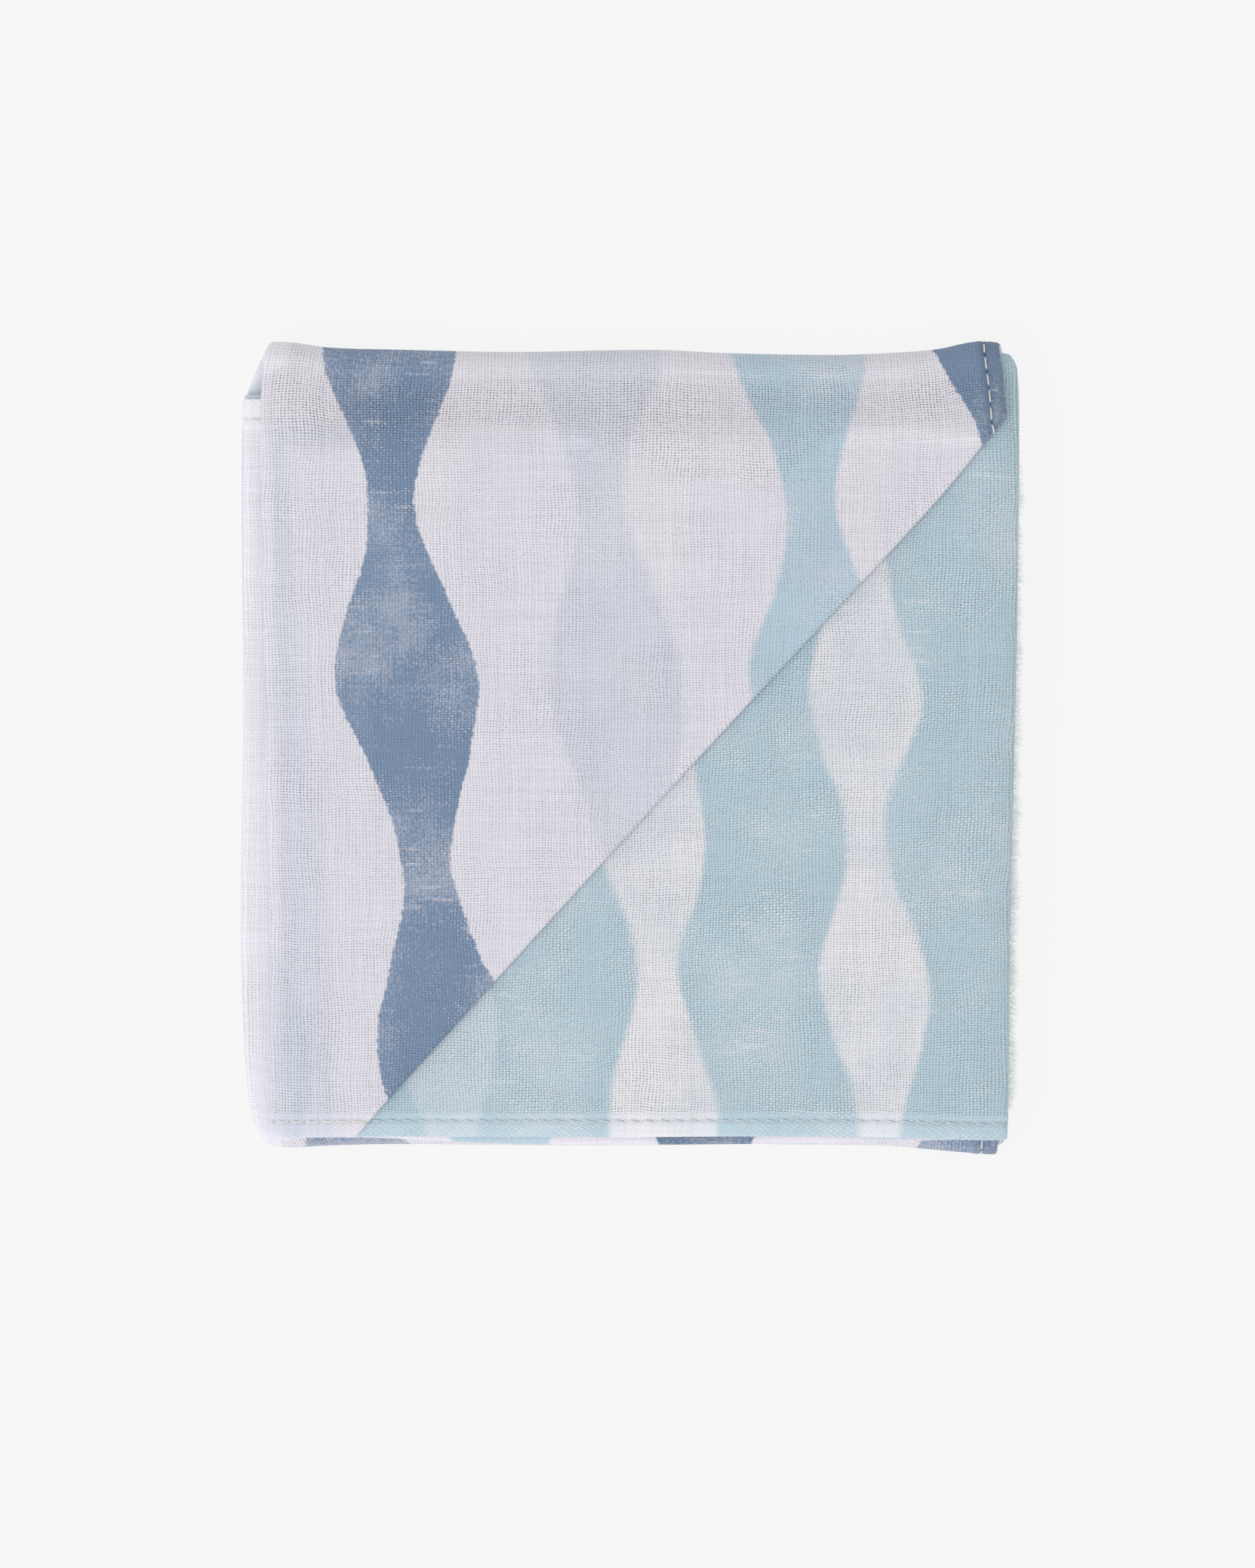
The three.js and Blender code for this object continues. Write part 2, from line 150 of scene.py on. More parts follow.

# How well the layers below back the top panel, as shares that add up, which sets the painted shade in its
# pinholes, and the folds on the left, where many layers lie close, which are painted lighter. A painted
# highlight stands for a ridge over the inner hems, where those reach furthest back.
BACKING_LIGHT_AND_SHADE = {"inner_layers": 0.6, "turned_corner": 0.4, "ridge_highlight": 0.5, "full": 1.0, "painted_light_left_folds": 1.6}
LEFT_FOLDS_REACH = 6
RIDGE_HIGHLIGHT_PLACE = {"width": 3, "hem_from_y": 46, "hem_over": 2, "from_x": -30, "over": 6}
SHOWN_BLUR = 3
FLAP_BLUR = 2.5
AQUA_HIDDEN_BY_FLAP = 0.75

# How far handling has worn the dye at the back fold, and how much paler the dye is painted along the front
# fold as a painted highlight where the rounded fold catches the light, each within a reach of its fold. The
# back fold's wear turns to fuller dye at the right-hand corner, a painted shade, and the front fold's
# painted highlight fades to the right.
WEAR_AND_PAINTED_LIGHT = {"back": 0.15, "back_reach": 17, "corner_x": 34, "corner_over": 10, "corner_turn": 2.5,
        "front": 0.38, "front_reach": 9, "front_end_x": 18, "front_over": 36}

# The photo's height in pixels, its scale, and the place that its middle shows
PHOTO_HEIGHT = 2156
MM_PER_PIXEL = 0.111
PHOTO_MIDDLE = (-0.44, -5.55, 12.0)


def linear(hex_colour):
    """An sRGB hex colour as linear red, green, blue and alpha."""
    parts = [int(hex_colour[i:i + 2], 16) / 255 for i in (1, 3, 5)]
    return [p / 12.92 if p <= 0.04045 else ((p + 0.055) / 1.055) ** 2.4 for p in parts] + [1.0]


def length_property(name, description, millimetres, low, high):
    return bpy.props.FloatProperty(
        name=name, description=description, default=millimetres * MM, min=low * MM, max=high * MM,
        precision=6, unit="LENGTH")


def colour_property(name, description, hex_colour):
    return bpy.props.FloatVectorProperty(
        name=name, description=description, subtype="COLOR", size=4, default=linear(hex_colour),
        min=0, max=1)


class CLOTH_PG_sizes(bpy.types.PropertyGroup):
    cloth_thickness: length_property(
        "Cloth thickness", "Thickness of the double gauze, both weaves together", 0.68, 0.4, 1.0)
    hem_thickness: length_property(
        "Hem thickness", "Thickness of the twice turned hem", 0.95, 0.5, 1.2)
    hem_width: length_property(
        "Hem width", "Width of the twice turned hem", 3.6, 2, 10)
    stitch_inset: length_property(
        "Stitch inset", "Distance of the stitching from the cloth's edge", 2.5, 1, 8)
    stitch_length: length_property(
        "Stitch length", "Length of one lockstitch from hole to hole", 2.4, 1, 5)
    thread_radius: length_property(
        "Thread radius", "Radius of the sewing thread", 0.13, 0.05, 0.4)
    warp_spacing: length_property(
        "Spacing of threads across", "Distance from thread to thread across the cloth", 0.516, 0.3, 1)
    weft_spacing: length_property(
        "Spacing of threads along", "Distance from thread to thread along the cloth", 0.385, 0.2, 1)
    lint_length: length_property(
        "Lint length", "Reach of the loose fibres at the right-hand folds", 2.8, 0.0, 4)


class CLOTH_PG_colours(bpy.types.PropertyGroup):
    front_ground: colour_property("Front ground", "Bleached cotton of the front", "#E1DEE6")
    dark_blue: colour_property("Dark blue", "Dark blue bands of the front", "#788DA9")
    aqua: colour_property("Aqua", "Aqua bands of the front", "#B4CAD8")
    lavender: colour_property("Lavender grey", "Palest bands of the front", "#D2D5E0")
    reverse_ground: colour_property("Reverse ground", "Aqua ground of the reverse", "#B3C9D4")
    reverse_band: colour_property("Reverse bands", "Pale bands of the reverse", "#E4E3E8")
    thread: colour_property("Thread", "Sewing thread", "#E6E3E0")
    floor: colour_property("Floor", "Plain pale floor", "#F7F7F7")


def in_millimetres(sizes):
    """The sizes of a property group, in millimetres."""
    return SimpleNamespace(**{name: getattr(sizes, name) / MM for name in sizes.__annotations__})


def eased(share):
    """A soft step from 0 to 1."""
    t = np.clip(share, 0, 1)
    return t * t * (3 - 2 * t)


def follow(table, first, column, at):
    """A smooth curve through one column of a table, read at places in its first column."""
    places = np.array(table[first], float)
    values = np.array(table[column], float)
    last = len(places) - 1
    before = np.maximum(np.arange(last + 1) - 1, 0)
    after = np.minimum(np.arange(last + 1) + 1, last)
    slopes = (values[after] - values[before]) / (places[after] - places[before])
    at = np.clip(at, places[0], places[-1])
    i = np.clip(np.searchsorted(places, at, side="right") - 1, 0, last - 1)
    span = places[i + 1] - places[i]
    t = (at - places[i]) / span
    curve = values[i] + (values[i + 1] - values[i]) * t * t * (3 - 2 * t)
    return curve + span * t * (1 - t) * (slopes[i] * (1 - t) - slopes[i + 1] * t)


# The diagonal fold, as a line on the flat cloth with its unit normal towards the corner
TUCK_NORMAL = np.array([TUCK_UP_SIDE_HEM, -TUCK_ALONG_FRONT_HEM]) / np.hypot(
    TUCK_UP_SIDE_HEM, TUCK_ALONG_FRONT_HEM)
TUCK_START = -0.85
TUCK_ARC = np.pi * TUCK_RADIUS


def past_tuck(across, along):
    """How far a place lies past the diagonal fold, towards the corner."""
    return (across - CLOTH_SIDE) * TUCK_NORMAL[0] + (along - TUCK_UP_SIDE_HEM) * TUCK_NORMAL[1]


def in_top_panel(across, along):
    return (across > TOP_PANEL_START) & (along < TOP_LENGTH)


def tucked(across, along):
    """Turns the corner of the top panel under. Gives the place on the panel and the depth below it."""
    past = past_tuck(across, along)
    bent = past - TUCK_START
    turned = (bent > 0) & in_top_panel(across, along)
    turn = np.clip(bent / TUCK_RADIUS, 0, np.pi)
    straight = np.maximum(0, bent - TUCK_ARC)
    moved = np.where(turned, TUCK_START + TUCK_RADIUS * np.sin(turn) - straight - past, 0)
    below = np.where(turned, TUCK_RADIUS * (1 - np.cos(turn)), 0)
    return across + TUCK_NORMAL[0] * moved, along + TUCK_NORMAL[1] * moved, below


def on_flap(across, along, reach):
    """How far a place on the top panel is backed by the turned corner: 1 over it, 0 beyond reach of it."""
    past = np.minimum(past_tuck(across, along), TUCK_START)
    to_flap = TUCK_ARC + 2 * TUCK_START - 2 * past
    inside_side_hem = CLOTH_SIDE - (across + TUCK_NORMAL[0] * to_flap)
    inside_front_hem = along + TUCK_NORMAL[1] * to_flap
    share = [eased(1 + (inside + FLAP_CLEAR) / reach) for inside in (inside_side_hem, inside_front_hem)]
    return share[0] * share[1]


def pleated(across):
    """Pleats the cloth across. Gives x in the strip and the height above the lowest panel."""
    right_turn = (across - LOW_PANEL) / PLEAT_RADIUS
    left_turn = (across - MIDDLE_PANEL_START - MIDDLE_PANEL) / PLEAT_RADIUS
    parts = [across <= LOW_PANEL, across < MIDDLE_PANEL_START,
             across <= MIDDLE_PANEL_START + MIDDLE_PANEL, across < TOP_PANEL_START]
    x = np.select(parts, [
        RIGHT_CENTRE - (LOW_PANEL - across),
        RIGHT_CENTRE + PLEAT_RADIUS * np.sin(right_turn),
        RIGHT_CENTRE - (across - MIDDLE_PANEL_START),
        LEFT_CENTRE - PLEAT_RADIUS * np.sin(left_turn),
    ], LEFT_CENTRE + across - TOP_PANEL_START)
    height = np.select(parts, [
        np.zeros_like(across),
        PLEAT_RADIUS * (1 - np.cos(right_turn)),
        np.full_like(across, PITCH),
        PITCH + PLEAT_RADIUS * (1 - np.cos(left_turn)),
    ], STRIP_DEPTH)
    return x, height


def rolled(along, height):
    """Rolls the pleated strip into three lengths, with its top panel outermost. Gives y and z."""
    radius = ROLL_RADIUS - STRIP_DEPTH + height
    top_y = FRONT_HEM_Y + along
    sunk = eased((top_y - SINK_START_Y) / (SINK_END_Y - SINK_START_Y))
    back_turn = (along - TOP_LENGTH) / ROLL_RADIUS
    front_turn = (along - FRONT_ARC_START) / ROLL_RADIUS
    run = along - INNER_LENGTH_START
    stagger = INNER_HEM_STAGGER * (STRIP_DEPTH - height) / PITCH * run / INNER_LENGTH
    parts = [along <= TOP_LENGTH, along < BASE_LENGTH_START, along <= FRONT_ARC_START,
             along < INNER_LENGTH_START]
    y = np.select(parts, [
        top_y,
        BACK_CENTRE_Y + radius * np.sin(back_turn),
        BACK_CENTRE_Y - (along - BASE_LENGTH_START),
        FRONT_CENTRE_Y - radius * np.sin(front_turn),
    ], FRONT_CENTRE_Y + run + stagger)
    z = np.select(parts, [
        CENTRE_Z + radius + TOP_LENGTH_LIFT * (1 - sunk),
        CENTRE_Z + radius * np.cos(back_turn),
        CENTRE_Z - radius,
        CENTRE_Z - radius * np.cos(front_turn),
    ], CENTRE_Z + radius)
    return y, z


def folded(across, along):
    """The places of points of the flat cloth in the folded handkerchief, on its middle surface."""
    across = np.asarray(across, float)
    along = np.asarray(along, float)
    across, along, below = tucked(across, along)
    strip_x, height = pleated(across)
    rise = np.where(in_top_panel(across, along), TUCK_RISE * on_flap(across, along, FLAP_RAMP), 0)
    height = height + rise - below
    roll_y, roll_z = rolled(along, height)

    left = follow(STRIP_SIDES, "along", "left", along)
    right = follow(STRIP_SIDES, "along", "right", along)
    x = left + (right - left) * (strip_x - STRIP_LEFT) / STRIP_WIDTH
    hem = SIDE_HEM_DRAWN
    rising = eased((along - hem["from"]) / (hem["to"] - hem["from"]))
    drawn_in = hem["low"] + (hem["high"] - hem["low"]) * rising
    drawn_in = drawn_in * eased(1 - (right - x) / hem["over"])
    drawn_in = drawn_in * eased((BASE_LENGTH_START - along) / ROLL_ARC)
    x = x - np.where(across > TOP_PANEL_START, drawn_in, 0)

    back = follow(END_BOWS, "x", "back", x) * eased(1 + (roll_y - BACK_FOLD_Y) / BOW_REACH)
    front = follow(END_BOWS, "x", "front", x) * eased(1 - (roll_y - FRONT_FOLD_Y) / BOW_REACH)
    front = front * np.where(along < TOP_LENGTH, TOP_BOW_SHARE, 1)
    low_hem = follow(END_BOWS, "x", "low_hem", x) * eased(1 - height / PITCH)
    y = roll_y + back - front - low_hem * eased(1 - along / LOW_HEM_REACH)
    to_inner_hem = np.clip((along - INNER_LENGTH_START) / INNER_LENGTH, 0, 1)
    flare = INNER_FLARE["reach"] + INNER_FLARE["stagger"] * height / STRIP_DEPTH
    y += flare * to_inner_hem ** 2 * eased((INNER_FLARE["from_x"] - x) / INNER_FLARE["over"])

    over_inner = np.where(along < TOP_LENGTH, np.maximum(0, roll_z - CENTRE_Z - ROLL_RADIUS), 0)
    pressed = LEFT_PRESS["share"] * eased(1 - (x - left) / LEFT_PRESS["reach"])
    pressed += RIGHT_PRESS["share"] * eased(1 - (right - x) / RIGHT_PRESS["reach"])
    roll_z = roll_z - pressed * over_inner
    over_fold = np.maximum(0, 1 - (y - FRONT_FOLD_Y) / HEM_DROOP_LENGTH)
    droop = np.where(along < TOP_LENGTH, HEM_DROOP * over_fold ** 2, 0)
    swell_x = np.sin((x + SWELL["shift_x"]) / SWELL["reach_x"])
    swell_y = np.cos((y - SWELL["shift_y"]) / SWELL["reach_y"])
    swell = 1 + SWELL["share"] * swell_x * swell_y + sum(
        share * np.sin(x / reach_x + y / reach_y + turn) for share, reach_x, reach_y, turn in SOFT_WAVES)
    above_base = (roll_z - droop - CAD_HALF_SHEET) * swell
    return np.stack([x, y, CAD_HALF_SHEET + above_base], -1)


def front_normal(across, along):
    """The front face's normals, from two short steps along the surface."""
    across_step = folded(across + SLOPE_STEP, along) - folded(across - SLOPE_STEP, along)
    along_step = folded(across, along + SLOPE_STEP) - folded(across, along - SLOPE_STEP)
    normal = np.cross(across_step, along_step)
    return normal / np.linalg.norm(normal, axis=-1, keepdims=True)


def half_thickness(across, along, sizes):
    """Half the cloth's thickness: fuller in the hem, drawn in by its stitching, and round at its edge."""
    to_edge = np.minimum.reduce([across, CLOTH_SIDE - across, along, CLOTH_SIDE - along])
    in_hem = eased((sizes.hem_width + HEM_STEP - to_edge) / (2 * HEM_STEP))
    half = (sizes.cloth_thickness + (sizes.hem_thickness - sizes.cloth_thickness) * in_hem) / 2
    drawn_in = GROOVE["depth"] * eased(1 - np.abs(to_edge - sizes.stitch_inset) / GROOVE["reach"])
    edge = 1 - np.clip(to_edge / HEM_ROUND, 0, 1)
    return (half - drawn_in) * np.sqrt(1 - edge ** 2)


def cells(start, end, size):
    """Grid lines from start to end, about one size apart, without the first."""
    count = max(1, round((end - start) / size))
    return list(start + (end - start) * np.arange(1, count + 1) / count)


def grid_lines():
    """Grid lines across and along the flat cloth. Hidden panels and lengths have fewer."""
    far = [CLOTH_SIDE - line for line in reversed(HEM_LINES)]
    hem = HEM_LINES[-1]
    size = CELL_SIZES
    left_pleat = MIDDLE_PANEL_START + MIDDLE_PANEL
    across = HEM_LINES + cells(hem, LOW_PANEL, size["low"])
    across += cells(LOW_PANEL, MIDDLE_PANEL_START, size["pleat"])
    across += cells(MIDDLE_PANEL_START, left_pleat, size["middle"])
    across += cells(left_pleat, TOP_PANEL_START, size["pleat"])
    across += cells(TOP_PANEL_START, far[0], size["top"])[:-1] + far
    along = HEM_LINES + cells(hem, TOP_LENGTH, size["top"])
    along += cells(TOP_LENGTH, BASE_LENGTH_START, size["roll"])
    along += cells(BASE_LENGTH_START, FRONT_ARC_START, size["hidden_length"])
    along += cells(FRONT_ARC_START, INNER_LENGTH_START, size["roll"])
    along += cells(INNER_LENGTH_START, far[0], size["hidden_length"])[:-1] + far
    return across, along


def flat_cloth():
    """The flat cloth's grid, cut along the diagonal fold's bend. Gives its points and its faces."""
    across, along = grid_lines()
    sheet = bmesh.new()
    rows = [[sheet.verts.new((a, b, 0)) for b in along] for a in across]
    for i in range(len(across) - 1):
        for j in range(len(along) - 1):
            sheet.faces.new((rows[i][j], rows[i + 1][j], rows[i + 1][j + 1], rows[i][j + 1]))
    normal = (TUCK_NORMAL[0], TUCK_NORMAL[1], 0)
    for step in range(TUCK_BEND_STEPS + 1):
        offset = TUCK_START + TUCK_ARC * step / TUCK_BEND_STEPS
        point = (CLOTH_SIDE + TUCK_NORMAL[0] * offset, TUCK_UP_SIDE_HEM + TUCK_NORMAL[1] * offset, 0)
        faces = [f for f in sheet.faces if in_top_panel(*f.calc_center_median()[:2])]
        edges = list({e for f in faces for e in f.edges})
        verts = list({v for f in faces for v in f.verts})
        bmesh.ops.bisect_plane(
            sheet, geom=verts + edges + faces, dist=SAME_LINE, plane_co=point, plane_no=normal)
    sheet.verts.index_update()
    points = np.array([v.co[:2] for v in sheet.verts])
    faces = [[v.index for v in f.verts] for f in sheet.faces]
    sheet.free()
    return points, faces


def to_model(places):
    """Millimetres in the folded frame to metres in the model's, whose origin is under its middle."""
    return (places - to_model.origin) * MM


def shown_through(points, side):
    """How the layers below change the cloth's look at its points: how well they back it, which sets the
    painted shade in its holes, where 1 is fully and more is where many lie close and it is painted lighter,
    with a painted highlight along a ridge over the inner hems, and how much aqua they show."""
    across, along = points.T
    place = folded(across, along)
    top = in_top_panel(across, along) & (past_tuck(across, along) < TUCK_START) & (side > 0)
    hem_y = follow(INNER_HEMS_SEEN, "x", "y", place[:, 0])
    past_hem = hem_y - place[:, 1]
    over_inner = eased(past_hem / SHOWN_BLUR + 0.5)
    # A painted highlight along a ridge over the inner hems
    ridge_highlight_mask = eased(past_hem + 0.5) * eased(RIDGE_HIGHLIGHT_PLACE["width"] - past_hem)
    ridge_highlight_mask *= eased((hem_y - RIDGE_HIGHLIGHT_PLACE["hem_from_y"]) / RIDGE_HIGHLIGHT_PLACE["hem_over"])
    ridge_highlight_mask *= eased((place[:, 0] - RIDGE_HIGHLIGHT_PLACE["from_x"]) / RIDGE_HIGHLIGHT_PLACE["over"])
    flap = on_flap(across, along, FLAP_BLUR)
    backed = BACKING_LIGHT_AND_SHADE["inner_layers"] * over_inner + BACKING_LIGHT_AND_SHADE["turned_corner"] * flap
    backing_light_and_shade = np.where(top, backed + BACKING_LIGHT_AND_SHADE["ridge_highlight"] * ridge_highlight_mask, BACKING_LIGHT_AND_SHADE["full"])
    # The folds on the left, where many layers lie close, are painted lighter.
    painted_light_left_folds = (along > TOP_LENGTH) & (place[:, 0] < STRIP_LEFT + LEFT_FOLDS_REACH)
    backing_light_and_shade[painted_light_left_folds] = BACKING_LIGHT_AND_SHADE["painted_light_left_folds"]
    below = MIDDLE_PANEL_START + RIGHT_CENTRE - LEFT_CENTRE + TOP_PANEL_START - across
    inside = band_inside(below, along, REVERSE_PRINT)
    aqua = 1 - eased(inside / SHOWN_BLUR + 0.5)
    aqua *= over_inner * (1 - ridge_highlight_mask) * (1 - AQUA_HIDDEN_BY_FLAP * flap)
    return backing_light_and_shade, np.where(top, aqua, 0.0)


def wear_and_painted_light(across, along):
    """How much handling has thinned the dye at the back fold, where its right-hand corner is painted darker
    as shade, and how much more the dye is painted paler on the left of the front fold, as a painted
    highlight.
    """
    x = folded(across, along)[:, 0]
    back = eased(1 - np.abs(along - TOP_LENGTH - ROLL_ARC / 2) / WEAR_AND_PAINTED_LIGHT["back_reach"])
    back = back * (1 - WEAR_AND_PAINTED_LIGHT["corner_turn"] * eased((x - WEAR_AND_PAINTED_LIGHT["corner_x"]) / WEAR_AND_PAINTED_LIGHT["corner_over"]))
    front = eased(1 - np.abs(along - FRONT_ARC_START - ROLL_ARC / 2) / WEAR_AND_PAINTED_LIGHT["front_reach"])
    front = front * eased((WEAR_AND_PAINTED_LIGHT["front_end_x"] - x) / WEAR_AND_PAINTED_LIGHT["front_over"])
    return WEAR_AND_PAINTED_LIGHT["back"] * back + WEAR_AND_PAINTED_LIGHT["front"] * front


# The print of the front: bands side by side that swell and narrow together, dark blue, aqua and lavender
# grey in turn. Their middle lines lean and curve a little, and the cloth is pulled narrower away from the
# first one. One band came out faint. Lengths are in millimetres and turns in degrees.
FRONT_PRINT = {
    "first_axis": 349.8, "spacing": 32.1, "lean": -0.0621, "bow": 0.000228, "level": 118, "pull": 0.00003,
    "half": 7.2, "swing": 3.6, "period": 55.2, "widest": 68.6, "turn": 0, "late": 0, "late_turn": 0,
    "faint_number": 4, "faint_share": 0.28,
}

# The print of the reverse: pale bands on aqua. Each swells where its neighbours narrow, some sooner than
# others.
REVERSE_PRINT = {
    "first_axis": 137.3, "spacing": -34.2, "lean": 0.052, "bow": 0, "level": 0, "pull": 0,
    "half": 6.0, "swing": 2.7, "period": 46.1, "widest": 68.6, "turn": 180, "late": 5.97, "late_turn": 146.4,
    "faint_number": 2, "faint_share": 0.4,
}


def band_inside(across, along, p):
    """How far places on the flat cloth lie inside the nearest band of a print, in millimetres."""
    level = along - p["level"]
    axis = p["first_axis"] + level * (p["lean"] + p["bow"] * level) - p["pull"] * (CLOTH_SIDE - across) ** 2
    apart = (axis - across) / p["spacing"]
    number = np.round(apart)
    late = p["late"] * np.sin(np.radians(p["late_turn"]) * number)
    phase = 2 * np.pi * (along - p["widest"] - late) / p["period"] + np.radians(p["turn"]) * number
    return p["half"] + p["swing"] * np.cos(phase) - np.abs(apart - number) * abs(p["spacing"])


def add_node(tree, kind, *inputs, **settings):
    """Adds a node with its settings, then its live inputs in order, each a value or a socket. Gives its
    first live output."""
    node = tree.nodes.new("ShaderNode" + kind)
    for name, value in settings.items():
        setattr(node, name, value)
    for socket, value in zip([s for s in node.inputs if s.enabled], inputs):
        if isinstance(value, bpy.types.NodeSocket):
            tree.links.new(value, socket)
        else:
            socket.default_value = value
    return next(s for s in node.outputs if s.enabled)


def new_material(name):
    """Gives a new material, its surface shader, and the ways to add a node to it and to link two sockets."""
    material = bpy.data.materials.new(name)
    material.use_nodes = True
    tree = material.node_tree
    return material, tree.nodes["Principled BSDF"], partial(add_node, tree), tree.links.new


def wandered(add, place, grain, size):
    """A place moved about by soft noise of so many hollows to a millimetre, by up to half this size."""
    soft = add("TexNoise", place, grain, 1.0, 0.5, noise_dimensions="2D").node.outputs["Color"]
    centred = add("VectorMath", soft, (0.5, 0.5, 0.5), operation="SUBTRACT")
    return add("VectorMath", place, add("VectorMath", centred, size, operation="SCALE"), operation="ADD")


def print_nodes(add, place, p):
    """The nodes for band_inside. Gives the length inside the band and the band's number."""
    across, along = add("SeparateXYZ", place).node.outputs[:2]
    level = add("Math", along, p["level"], operation="SUBTRACT")
    bowed = add("Math", level, p["bow"], p["lean"], operation="MULTIPLY_ADD")
    axis = add("Math", level, bowed, p["first_axis"], operation="MULTIPLY_ADD")
    from_side = add("Math", CLOTH_SIDE, across, operation="SUBTRACT")
    pulled = add("Math", add("Math", from_side, 2, operation="POWER"), -p["pull"], axis,
                 operation="MULTIPLY_ADD")
    apart = add("Math", add("Math", pulled, across, operation="SUBTRACT"), p["spacing"], operation="DIVIDE")
    number = add("Math", apart, operation="ROUND")
    beside = add("Math", add("Math", apart, number, operation="SUBTRACT"), operation="ABSOLUTE")
    late_turn = add("Math", number, np.radians(p["late_turn"]), operation="MULTIPLY")
    late = add("Math", add("Math", late_turn, operation="SINE"), -p["late"], -p["widest"],
               operation="MULTIPLY_ADD")
    from_widest = add("Math", along, late, operation="ADD")
    turn = add("Math", number, np.radians(p["turn"]), operation="MULTIPLY")
    phase = add("Math", from_widest, 2 * np.pi / p["period"], turn, operation="MULTIPLY_ADD")
    half = add("Math", add("Math", phase, operation="COSINE"), p["swing"], p["half"],
               operation="MULTIPLY_ADD")
    inside = add("Math", beside, -abs(p["spacing"]), half, operation="MULTIPLY_ADD")
    return inside, number


def weave_nodes(add, cloth, sizes):
    """The plain weave's pinholes, and the knuckles where threads across pass over, each from 0 to 1."""
    wavering = wandered(add, cloth, 0.09, 1.4)
    counted = add("VectorMath", wavering, (1 / sizes.warp_spacing, 1 / sizes.weft_spacing, 0.0),
                  operation="MULTIPLY")
    counts = add("SeparateXYZ", counted).node.outputs
    between, over = [], []
    for count in counts[:2]:
        crest = add("Math", add("Math", count, np.pi, operation="MULTIPLY"), operation="COSINE")
        over.append(crest)
        between.append(add("Math", 1.0, add("Math", crest, crest, operation="MULTIPLY"),
                           operation="SUBTRACT"))
    gap = add("Math", *between, operation="MULTIPLY")
    pinhole = add("MapRange", gap, 0.2, 0.85, 0.0, 1.0, interpolation_type="SMOOTHSTEP")
    crossing = add("Math", *over, operation="MULTIPLY")
    knuckle = add("MapRange", crossing, 0.2, 0.95, 0.0, 1.0, interpolation_type="SMOOTHSTEP")

    # No two holes or crossings are quite the same.
    hole_number = add("VectorMath", counted, operation="FLOOR")
    middle = add("VectorMath", counted, (0.5, 0.5, 0.0), operation="ADD")
    knuckle_number = add("VectorMath", middle, operation="FLOOR")
    own_hole = add("TexWhiteNoise", hole_number, noise_dimensions="2D")
    own_knuckle = add("TexWhiteNoise", knuckle_number, noise_dimensions="2D")
    pinhole = add("Math", pinhole, add("MapRange", own_hole, 0.0, 1.0, 0.6, 1.35), operation="MULTIPLY")
    knuckle = add("Math", knuckle, add("MapRange", own_knuckle, 0.0, 1.0, 0.2, 1.5), operation="MULTIPLY")
    return pinhole, knuckle


def hem_nodes(add, cloth, sizes):
    """The share of hem at a place, the groove that its stitching draws in, and the needle holes."""
    across, along = add("SeparateXYZ", cloth).node.outputs[:2]
    to_sides = [add("Math", place, add("Math", CLOTH_SIDE, place, operation="SUBTRACT"), operation="MINIMUM")
                for place in (across, along)]
    to_edge = add("Math", *to_sides, operation="MINIMUM")
    in_hem = add("MapRange", to_edge, sizes.hem_width + HEM_STEP, sizes.hem_width - HEM_STEP, 0.0, 1.0,
                 interpolation_type="SMOOTHSTEP")
    off_line = add("Math", to_edge, sizes.stitch_inset, operation="SUBTRACT")
    groove = add("MapRange", add("Math", off_line, operation="ABSOLUTE"), 0.15, GROOVE["reach"], 1.0, 0.0,
                 interpolation_type="SMOOTHSTEP")
    up_side = add("Math", *to_sides, operation="LESS_THAN")
    run = add("Mix", up_side, across, along)
    pitch = stitch_pitch(sizes)
    stitches = add("Math", add("Math", run, sizes.stitch_inset, operation="SUBTRACT"), pitch,
                   operation="DIVIDE")
    from_hole = add("Math", add("Math", stitches, add("Math", stitches, operation="ROUND"),
                                operation="SUBTRACT"), pitch, operation="MULTIPLY")
    apart = add("Math", add("Math", from_hole, 2, operation="POWER"),
                add("Math", off_line, 2, operation="POWER"), operation="ADD")
    hole = add("MapRange", add("Math", apart, operation="SQRT"), 0.1, 0.36, 1.0, 0.0,
               interpolation_type="SMOOTHSTEP")
    return in_hem, groove, hole


